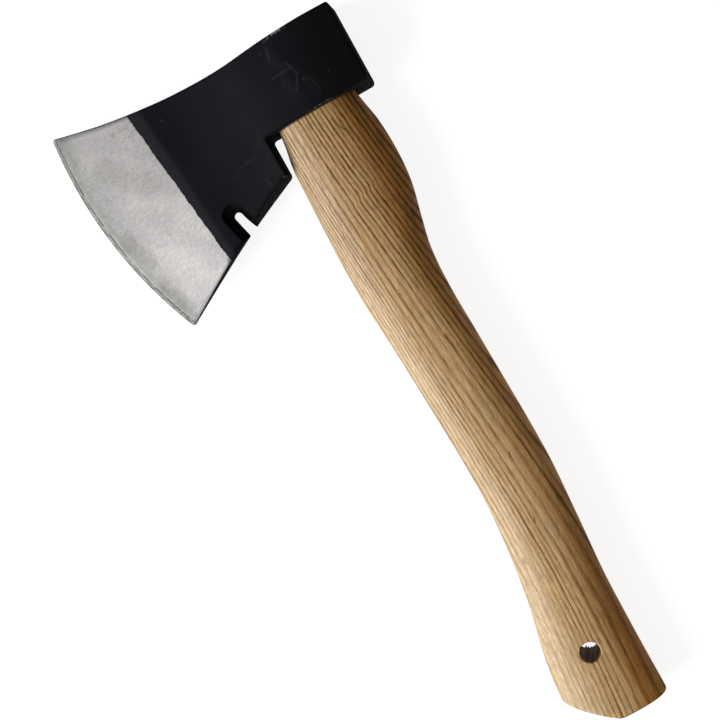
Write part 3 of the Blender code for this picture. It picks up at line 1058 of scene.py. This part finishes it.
def ash_marks_and_shade(graph, colour, pores):
    """Painted shadow where the wood meets the head and in the eye, cracks and specks on the upper side,
    and painted shade on the lanyard hole's wall.
    """
    # Painted shadow: dark wood under the head's rim and inside the eye.
    painted_eye_shadow = graph.x.step(-19.9, -19.1, 0.0, 0.85) * graph.x.step(5.0, 0.0)
    colour = colour.mix(painted_eye_shadow, (0.030, 0.012, 0.004))
    upper = graph.z.step(MIDDLE / MM, MIDDLE / MM + 4.0)
    marks = strokes(graph, WOOD_MARKS, pores, 2.2) * upper
    colour = colour.mix(marks, (0.035, 0.015, 0.005))
    # Painted shade: the lanyard hole's wall is darkened.
    radius = LANYARD_HOLE / 2 / MM
    off = graph.vector("DISTANCE", graph.flat, Vector((*LANYARD_PLACE, 0.0)) / MM)
    return colour.tint(off.step(radius + 0.15, radius - 0.10, 0.0, 0.9), (0.28, 0.24, 0.20))


def ash_ends(graph, colour):
    """Duller end grain with open pores, on the ends of the tenon and the butt."""
    normal = graph.add("ShaderNodeNewGeometry", "Normal", {})
    end_grain = abs(graph.split(normal)[0]).step(0.50, 0.66)
    colour = colour.tint(end_grain, (0.74, 0.64, 0.54))
    openings = graph.noise(graph.mm, scale=1.5, roughness=0.6)
    openings = end_grain * openings.step(0.54, 0.66, 0.0, 0.6)
    return colour.mix(openings, (0.08, 0.035, 0.012))


def ash_wood():
    """Oiled ash: brown early wood lines in paler wood, with fine fibres and open pores, and painted light
    and shade across the grip, at the eye and in the lanyard hole.
    """
    graph = Graph("ash_wood")
    side = grip_side(graph, graph.noise((0.012, 0.5, 0.5), detail=3.0, roughness=0.6))
    early, flanks, late = growth_lines(graph, side)
    pores = graph.noise((0.22, 1.7, 1.7), roughness=0.65)
    open_pores = pores.step(0.55, 0.65) * early.times_plus(0.45, 0.25)
    fibres = graph.noise((0.13, 2.0, 2.0), detail=4.0, roughness=0.75)
    broad = graph.noise((0.014, 0.7, 0.7), detail=3.0, roughness=0.65)
    cloud = graph.noise((0.03, 0.10, 0.10))

    light, dark = ash_shades(graph, side)
    colour = light.mix(fibres.step(0.62, 0.40, 0.0, 0.55), dark)
    colour = colour.mix(broad.step(0.58, 0.36, 0.0, 0.30), dark)
    colour = colour.mix(late * 0.20, dark)
    colour = colour.mix(cloud.step(0.5, 0.75, 0.0, 0.35), colour.mix(0.4, dark))
    grit = graph.noise((0.7, 2.8, 2.8), roughness=0.75)
    colour = colour.mix(grit.step(0.50, 0.64, 0.0, 0.30), dark)
    colour = colour.tint(flanks * 0.8, (0.80, 0.62, 0.44))
    colour = colour.tint(early, (0.23, 0.15, 0.09))
    colour = colour.mix(open_pores, (0.048, 0.017, 0.003))
    colour = ash_ends(graph, ash_marks_and_shade(graph, colour, pores))

    height = early.times_plus(-0.6, open_pores.times_plus(-1.2, fibres * 0.8))
    graph.set(
        Base_Color=colour,
        Roughness=early.line(0.0, 1.0, 0.42, 0.58),
        Normal=graph.bump(height, 0.06 * MM, 0.8),
        Specular_IOR_Level=0.12,
    )
    return graph.material


def wedge_wood():
    """Plain hardwood, sawn off flush with its fibres open."""
    graph = Graph("wedge_wood")
    grain = graph.noise((0.06, 0.9, 2.2), detail=4.0, roughness=0.65)
    colour = graph.mix(grain.step(0.3, 0.7), (0.24, 0.125, 0.05), (0.42, 0.25, 0.115))
    specks = graph.noise((0.4, 3.0, 3.0))
    colour = colour.mix(specks.step(0.58, 0.72, 0.0, 0.6), (0.10, 0.05, 0.02))
    graph.set(Base_Color=colour, Roughness=0.6, Normal=graph.bump(grain, 0.06 * MM, 0.8))
    return graph.material


def bare_steel():
    """Mild steel of the small wedges, brushed and a little stained."""
    graph = Graph("bare_steel")
    brushed = graph.noise((4.0, 4.0, 0.25), detail=3.0, roughness=0.6)
    stains = graph.noise((0.5, 0.5, 0.5), detail=3.0)
    colour = graph.mix(brushed, (0.36, 0.36, 0.37), (0.55, 0.55, 0.56))
    colour = colour.mix(stains.step(0.55, 0.75, 0.0, 0.5), (0.16, 0.12, 0.09))
    graph.set(
        Base_Color=colour,
        Metallic=1.0,
        Roughness=stains.line(0.3, 0.7, 0.32, 0.5),
        Normal=graph.bump(brushed, 0.02 * MM, 0.6),
    )
    return graph.material


# Scuffs in the paint of the upper cheek: a line in plan in millimetres, half width and strength.
SCUFFS = (
    (((4.5, 0.2), (1.7, -1.1), (-1.4, -1.4), (-4.9, 0.1), (-8.4, 2.4)), 0.85, 0.15),
    (((2.2, 9.0), (2.1, 6.0), (2.3, 3.2), (2.2, 0.6)), 0.8, 0.15),
    (((15.6, 5.0), (9.5, 6.9)), 0.9, 0.19),
    (((14.1, 8.6),), 0.9, 0.16),
    (((0.0, 4.5), (-7.0, 4.5)), 3.0, 0.045),
    (((3.0, 2.0), (12.0, 6.0)), 3.4, 0.035),
    (((-1.2, -2.3), (-7.2, -6.4), (-11.2, -7.1), (-15.0, -6.7)), 0.85, 0.06),
    (((-2.0, -3.0), (-13.0, -4.0)), 2.4, 0.03),
    (((-5.3, -3.3),), 0.8, 0.45),
    (((-7.6, -14.9),), 0.7, 0.35),
    (((12.4, 64.5),), 0.7, 0.30),
    (((-24.0, 34.5), (-24.0, 38.6), (-24.8, 41.8), (-26.1, 44.7), (-27.9, 46.8)), 0.75, 0.08),
    (((-13.4, 25.9), (-20.5, 30.6)), 1.2, 0.03),
    (((-35.8, 34.6), (-40.5, 34.2)), 0.5, 0.15),
    (((-38.3, 26.8),), 0.7, 0.8),
)


# Dull patches, scratches and specks on the ground bevels, given the same way.
STAINS = (
    (((6.0, 100.0), (-10.0, 86.0)), 9.0, 0.42),
    (((-22.0, 92.0), (-40.0, 82.0)), 7.0, 0.32),
    (((-27.0, 108.0), (-42.4, 102.3)), 5.5, 0.50),
    (((-55.3, 102.7), (-70.0, 97.5)), 6.0, 0.50),
    (((-36.8, 96.0), (-34.6, 80.5)), 0.8, 0.45),
    (((-29.0, 97.0), (-25.9, 86.0)), 0.7, 0.35),
    (((-6.4, 106.0),), 0.7, 0.9),
    (((-38.3, 79.9),), 0.7, 0.9),
    (((18.5, 88.8),), 0.45, 0.7),
)


# Slant of the grinding streaks to the way from the poll to the edge.
STREAK_SLANT = 0.22
# Painted light: brightness of the bevel next to the cheek, by the place along the edge in millimetres.
BEVEL_PAINTED_LIGHT = ((-85.0, 1.06), (-68.0, 1.15), (-48.0, 1.18), (-20.0, 1.01), (15.0, 0.93))
# Painted shade: the colour of walls that face away from the light, and of the notch's walls.
DEEP_SHADE = 0.0006


class HeadGraph(Graph):
    """A graph with the head's own places: from the edge, from the rims, on the walls."""

    def __init__(self, name):
        super().__init__(name)
        self.rim = self.add("ShaderNodeAttribute", 2, {}, attribute_name="rim_distance")
        x = self.x - EDGE_CENTRE_RISE / MM
        y = self.y - (EDGE_REACH - EDGE_RADIUS) / MM
        self.radius = self.vector("LENGTH", self.join(x, y, 0.0))
        self.from_edge = EDGE_RADIUS / MM - self.radius
        self.turn = self.math("ARCTAN2", x, y) * (EDGE_RADIUS / MM)
        self.upper = self.z.step(MIDDLE / MM + 2.0, MIDDLE / MM + 3.0)
        normal = self.add("ShaderNodeNewGeometry", "Normal", {})
        self.normal = self.split(normal)
        self.level = abs(self.normal[2])
        self.grain = self.noise(self.mm, scale=1.6, detail=3.0, roughness=0.6)
        self.rough = self.noise(self.mm, scale=0.35, detail=3.0, roughness=0.6)

    def streaks(self, across, along):
        """Noise drawn out along the way from the poll to the edge."""
        x = self.from_edge.times_plus(-STREAK_SLANT, self.turn) * across
        y = self.radius * along
        return self.noise(self.join(x, y, self.z), detail=3.0, roughness=0.65)


def ground_mask(graph):
    """Where the bevel is ground to bare steel: past an uneven line, and inside the painted rims."""
    cheek = (graph.z - MIDDLE / MM).math("SIGN")
    jag = graph.noise(graph.join(graph.x, 0.0, cheek), scale=0.16, detail=5.0, roughness=0.7)
    past = (graph.x.times_plus(-GRIND_SLOPE, graph.y) - GRIND_REACH / MM).nudge(jag, 2.2)
    flank = graph.rim.nudge(graph.rough, 0.3)
    return past.step(0.0, 0.22) * flank.step(0.30, 0.50)


def steel_tone(graph, fine, coarse, mottle):
    """Ground steel with its streaks and stains, and painted light that makes it brightest by the cheek
    below the middle of the bevel.
    """
    colour = graph.mix(fine.step(0.36, 0.64), (0.320, 0.310, 0.305), (0.430, 0.418, 0.412))
    colour = colour.tint(graph.grain.step(0.48, 0.62, 0.0, 0.60), 0.80)
    colour = colour.tint(coarse.step(0.4, 0.7, 0.0, 0.5), 0.85)
    colour = colour.tint(mottle.step(0.42, 0.62, 0.0, 0.6), (0.84, 0.84, 0.85))
    # Painted light: the bevel's brightness is scaled along the edge and from the edge to the cheek.
    painted_light_by_edge = graph.turn.line(15.0, -65.0, 0.84, 0.74)
    painted_light_by_cheek = graph.turn.curve(BEVEL_PAINTED_LIGHT)
    across = graph.from_edge.step(3.0, 27.0)
    painted_light_gain = (painted_light_by_cheek - painted_light_by_edge).times_plus(across, painted_light_by_edge)
    colour = graph.vector("SCALE", colour, scale=painted_light_gain)
    specks = graph.noise(graph.mm, scale=0.8, detail=1.0)
    colour = colour.tint(specks.step(0.72, 0.80, 0.0, 0.5), (0.45, 0.45, 0.44))
    return colour.tint(strokes(graph, STAINS, graph.rough, 9.0), (0.61, 0.61, 0.595))


def steel_colour(graph, fine, coarse):
    """The ground steel with a duller band by the edge, a dark line just inside the honed line, the honed
    line, and painted shade along the very edge.
    """
    mottle = graph.noise(graph.mm, scale=0.06)
    blotches = graph.noise(graph.mm, scale=0.28, detail=3.0)
    colour = steel_tone(graph, fine, coarse, mottle)
    band = graph.from_edge.nudge(mottle, 10.0).nudge(blotches, 9.0)
    colour = colour.tint(band.step(9.0, 3.0, 0.0, 0.75), (0.68, 0.71, 0.68))
    # A dark line about 1.7 mm from the edge, just inside the honed line.
    dark_line_inside_hone = graph.from_edge.gap(1.7).step(0.6, 0.25) * blotches.step(0.35, 0.55, 0.55, 0.95)
    colour = colour.tint(dark_line_inside_hone, (0.18, 0.19, 0.17))
    honed = graph.mix(blotches.step(0.42, 0.58), (0.120, 0.122, 0.112), (0.20, 0.205, 0.19))
    colour = colour.mix(graph.from_edge.step(1.35, 1.2), honed)
    # Painted shade: a near-black line along the very edge.
    return colour.mix(graph.from_edge.step(0.4, 0.2, 0.0, 0.8), 0.02)


def paint_chips(graph):
    """Where paint has chipped off along the rims, most of all above the eye."""
    wear = graph.grain.times_plus(0.5, graph.rough * 0.9)
    by_eye = abs(graph.y + 1.5).step(10.0, 3.0) * graph.upper * graph.x.step(12.0, 15.0)
    by_eye *= graph.rim.step(3.2, 0.4)
    at_rim = graph.rim.step(1.2, 0.35).most(by_eye)
    chips = by_eye.times_plus(0.19, wear).step(0.86, 0.96)
    off_poll = graph.y.step(-24.0, -16.0).most(graph.z.step(26.5, 23.0))
    return chips * at_rim * off_poll


def rubbed_and_highlit_rims(graph):
    """Where the upper cheek's rims under the eye and round the beard are bright: partly rubbed paint,
    partly a painted highlight on the rounded rim.
    """
    rim = graph.rim.gap(0.32).step(0.18, 0.05)
    rim *= graph.upper * graph.level.step(0.15, 0.45)
    by_eye = abs(graph.y + 3.6).step(7.5, 5.5) * graph.x.step(-14.0, -16.0)
    by_beard = graph.x.step(-37.5, -38.5) * 0.3 * graph.y.step(52.0, 45.0)
    return by_eye.most(by_beard) * rim * graph.grain.step(0.46, 0.58)


def worn_paint_and_highlights(graph, paint):
    """The paint with its scuffs on the upper cheek, its bright rims of rubbed paint and painted highlight,
    and its chips.
    """
    soft = graph.noise(graph.mm, scale=0.7)
    scuffed = strokes(graph, SCUFFS, soft, 1.5) * graph.upper
    scuffed *= graph.grain.step(0.40, 0.60, 0.05, 1.15)
    paint = paint.mix(scuffed, (0.10, 0.10, 0.105))
    # Bright rims: partly rubbed paint, partly painted highlight.
    paint = paint.mix(rubbed_and_highlit_rims(graph) * 0.75, (0.26, 0.26, 0.25))
    return paint.mix(paint_chips(graph) * 0.75, (0.20, 0.20, 0.195))


def cheek_paint_and_shade(graph):
    """Thin black paint, with painted shade that dims it towards the poll, and a paler band of painted
    light along the facet by the bevel.
    """
    cloud = graph.noise(graph.mm, scale=0.035, detail=3.0)
    paint = graph.mix(cloud, (0.0034, 0.0031, 0.0046), (0.0062, 0.0058, 0.0080))
    # Painted shade: darker towards the poll.
    poll = graph.x.times_plus(0.12, graph.y).step(4.0, -20.0)
    paint = paint.tint(poll, (0.42, 0.46, 0.40))
    # Painted light: a paler band along the facet line.
    past_facet = graph.x.times_plus(-FACET_SLOPE, graph.y)
    band = past_facet.step(FACET_REACH / MM - 1.5, FACET_REACH / MM + 1.5, 0.0, 0.8)
    return paint.mix(band, (0.0135, 0.0128, 0.0160))


def paint_and_shade_colour(graph):
    """The cheeks' paint, hammered at the poll's face, with painted shade on walls that face away from the
    light and in the notch, and painted light on the walls underneath and the beard's lower wall.
    """
    paint = cheek_paint_and_shade(graph)
    # Painted shade: walls that face away from the light are near black, except the hammered poll face.
    away = graph.normal[1].step(-0.5, -0.85) * 0.8
    at_poll = graph.y.step(-10.0, -20.0)
    hammered = graph.mix(graph.rough, (0.0022, 0.0022, 0.0025), (0.0072, 0.0072, 0.0078))
    hammered = hammered.mix(graph.grain.step(0.60, 0.72), (0.040, 0.040, 0.041))
    paint = paint.mix(away, graph.mix(at_poll, DEEP_SHADE, hammered))
    # Painted shade: the notch's walls.
    notch = stroke_distance(graph, NOTCH_LINE).step(NOTCH_WALLS / MM + 0.5, NOTCH_WALLS / MM)
    notch *= graph.level.step(0.85, 0.6)
    paint = paint.mix(notch, DEEP_SHADE)
    # Painted light: walls that face towards the butt are lighter.
    below = graph.level.step(0.6, 0.25) * graph.normal[0].step(-0.4, -0.7)
    paint = paint.mix(below * 0.7, 0.0125)
    # Painted light: the beard's lower wall is a lighter olive mottle.
    beard = below * graph.x.step(-36.0, -38.0)
    painted_light_olive = graph.mix(graph.rough.step(0.35, 0.65), (0.0085, 0.0085, 0.0070), (0.0155, 0.0155, 0.0125))
    return paint.mix(beard * 0.8, painted_light_olive)


def painted_steel():
    """Black paint on the forging, worn at the rims, with painted shade, painted light and painted
    highlights on its walls, cheeks and rims, and bare ground steel at the bit with painted light.
    """
    graph = HeadGraph("painted_steel")
    fine = graph.streaks(1.9, 0.42)
    coarse = graph.streaks(0.4, 0.03)
    ground = ground_mask(graph)
    paint = worn_paint_and_highlights(graph, paint_and_shade_colour(graph))
    dull = graph.level.step(0.6, 0.25).times_plus(0.4, graph.rough.line(0.3, 0.7, 0.50, 0.62))
    pitted = (graph.grain + graph.rough) * 0.5
    brushed = fine.times_plus(0.45, coarse * 0.2)
    satin = fine.line(0.3, 0.7, 0.34, 0.28).most(graph.from_edge.step(1.45, 1.25, 0.0, 0.7))
    graph.set(
        Base_Color=paint.mix(ground, steel_colour(graph, fine, coarse)),
        Metallic=ground,
        Specular_IOR_Level=0.04,
        Roughness=dull.mix(ground, satin),
        Normal=graph.bump(pitted.mix(ground, brushed), 0.03 * MM, 0.5),
    )
    return graph.material


# ------------------------ studio

CAMERA_PLACE = Vector((-92.86, -57.99, 705.0)) * MM
CAMERA_TARGET = Vector((-129.24, 38.92, 15.0)) * MM
CAMERA_ROLL = math.radians(-118.75)
CAMERA_LENS = 74.467


def make_camera():
    camera = add_object("camera", bpy.data.cameras.new("camera"))
    camera.data.lens = CAMERA_LENS
    camera.data.sensor_width = 36.0
    camera.data.clip_start = 0.05
    camera.data.clip_end = 20.0
    back = (CAMERA_PLACE - CAMERA_TARGET).normalized()
    right = Vector((0.0, 1.0, 0.0)).cross(back).normalized()
    up = back.cross(right)
    upright = Matrix((right, up, back)).transposed().to_4x4()
    camera.matrix_world = Matrix.Translation(CAMERA_PLACE) @ upright @ Matrix.Rotation(CAMERA_ROLL, 4, "Z")
    bpy.context.scene.camera = camera


FLOOR_REACH = 12.0
BACKDROP_HEIGHT = 5.0
BACKDROP_SIDES = 96
# Reflectance and glow of the floor and of the wall behind it.
FLOOR_PAPER = (0.20, 0.88)
BACKDROP_PAPER = (0.0, 0.93)
WHITE = (1.0, 1.0, 1.0, 1.0)
WORLD_STRENGTH = 0.25
# Each light with its offset from the middle of the hatchet, its diameter and its power in watts.
LIGHTS = (
    ("key_light", (0.0, 1.36, 0.9), 1.2, 47.0),
    ("overhead_light", (0.0, 0.75, 1.55), 1.4, 2.2),
)


def set_inputs(node, **inputs):
    for key, value in inputs.items():
        node.inputs[key.replace("_", " ")].default_value = value


def studio_paper(name, reflectance, glow):
    material = bpy.data.materials.new(name)
    material.use_nodes = True
    shader = material.node_tree.nodes["Principled BSDF"]
    grey = (reflectance, reflectance, reflectance, 1.0)
    set_inputs(shader, Base_Color=grey, Roughness=0.9, Emission_Color=WHITE, Emission_Strength=glow)
    return material


def make_floor():
    bm = bmesh.new()
    bmesh.ops.create_grid(bm, x_segments=1, y_segments=1, size=FLOOR_REACH)
    floor = make_object("floor", bm)
    floor.location.z = cad_low.z
    floor.data.materials.append(studio_paper("pale_floor", *FLOOR_PAPER))
    floor.visible_glossy = False


def make_backdrop():
    """A pale wall round the floor. Only the camera sees it, so it lights nothing."""
    bm = bmesh.new()
    bmesh.ops.create_cone(
        bm, segments=BACKDROP_SIDES, radius1=FLOOR_REACH, radius2=FLOOR_REACH, depth=BACKDROP_HEIGHT
    )
    wall = make_object("backdrop", bm)
    wall.location.z = cad_low.z + BACKDROP_HEIGHT / 2
    wall.data.materials.append(studio_paper("pale_backdrop", *BACKDROP_PAPER))
    wall.visible_diffuse = False
    wall.visible_glossy = False
    wall.visible_shadow = False


def make_light(name, offset, size, watts):
    """A round light that is aimed at the middle of the hatchet."""
    light = bpy.data.lights.new(name, "AREA")
    light.shape = "DISK"
    light.size = size
    light.energy = watts
    obj = add_object(name, light)
    centre = (cad_low + cad_high) / 2
    obj.location = centre + Vector(offset)
    obj.rotation_euler = (centre - obj.location).to_track_quat("-Z", "Y").to_euler()


def make_studio():
    for light in LIGHTS:
        make_light(*light)
    world = bpy.data.worlds.new("studio")
    world.use_nodes = True
    set_inputs(world.node_tree.nodes["Background"], Color=WHITE, Strength=WORLD_STRENGTH)
    bpy.context.scene.world = world
    bpy.context.scene.view_settings.view_transform = "Standard"


# ------------------------ the hatchet

make_camera()
make_floor()
make_backdrop()
make_studio()

ash = ash_wood()
steel = bare_steel()
place(make_head(), painted_steel(), "painted_steel", "head")
place(make_handle(), ash, "ash_wood", "handle")
place(make_wood_wedge(), wedge_wood(), "wedge_wood", "wood_wedge")
for side, name in ((-1, "steel_wedge_poll_side"), (1, "steel_wedge_edge_side")):
    place(make_steel_wedge(f"{name}_worn", side * STEEL_WEDGE_REACH), steel, "bare_steel", name)
